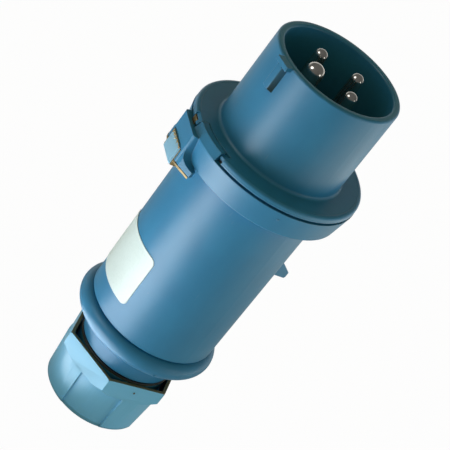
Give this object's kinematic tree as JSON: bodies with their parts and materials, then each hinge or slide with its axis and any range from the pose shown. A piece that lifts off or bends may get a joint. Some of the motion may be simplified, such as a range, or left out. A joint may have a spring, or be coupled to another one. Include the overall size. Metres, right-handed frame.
{
  "type": "industrial pin and sleeve plug",
  "caption": "Industrial pin and sleeve plug: contact pins in a keyed round sleeve, a two-part housing with a sliding lock, and a gland nut that clamps the cable.",
  "frame": {"origin": "centre of the cable opening in the gland nut's end face, on the plug's axis", "axes": "+Z along the axis from the cable end to the pins; the sleeve's key and the earth pin lie towards -Y"},
  "size_m": [0.068, 0.07, 0.1679],
  "materials": {
    "housing": "satin moulded plastic",
    "carrier": "dark moulded plastic",
    "nickel": "bright nickel plate on brass",
    "screw_steel": "zinc plated",
    "bolt_steel": "yellow passivated",
    "lock_pad": "satin moulded plastic",
    "gland_nut": "satin moulded plastic",
    "inner_grey": "moulded plastic",
    "rubber": "black rubber",
    "label": "blank white label"
  },
  "bodies": {
    "plug_body": {"sleeve_housing": "housing", "rear_housing": "housing", "flange_gasket": "rubber", "contact_carrier": "carrier", "terminal_backplate": "carrier", "backplate_screw": "screw_steel", "earth_pin": "nickel", "phase_pin_1": "nickel", "phase_pin_2": "nickel", "phase_pin_3": "nickel", "earth_terminal_screws": "screw_steel", "phase_terminal_screws": "screw_steel", "clamp_cage": "inner_grey", "gland_seal": "rubber", "neck_ring": "rubber", "label_plate": "label"},
    "lock_slide": {"lock_bolt": "bolt_steel", "lock_pad": "lock_pad"},
    "gland_washer": {"gland_washer": "inner_grey"},
    "gland_nut": {"gland_nut": "gland_nut"}
  },
  "joints": [
    {"name": "lock_release", "type": "slide", "parent": "plug_body", "child": "lock_slide", "axis": [0, 0, -1], "range_m": [0, 0.003]},
    {"name": "gland_travel", "type": "slide", "parent": "plug_body", "child": "gland_washer", "axis": [0, 0, -1], "range_m": [0, 0.006]},
    {"name": "gland_turn", "type": "hinge", "parent": "gland_washer", "child": "gland_nut", "pos_m": [0, 0, 0], "axis": [0, 0, -1], "range_deg": [0, 1080]}
  ],
  "couplings": [
    {"joint": "gland_travel", "follows": "gland_turn", "m_per_rad": 0.00031831}
  ]
}
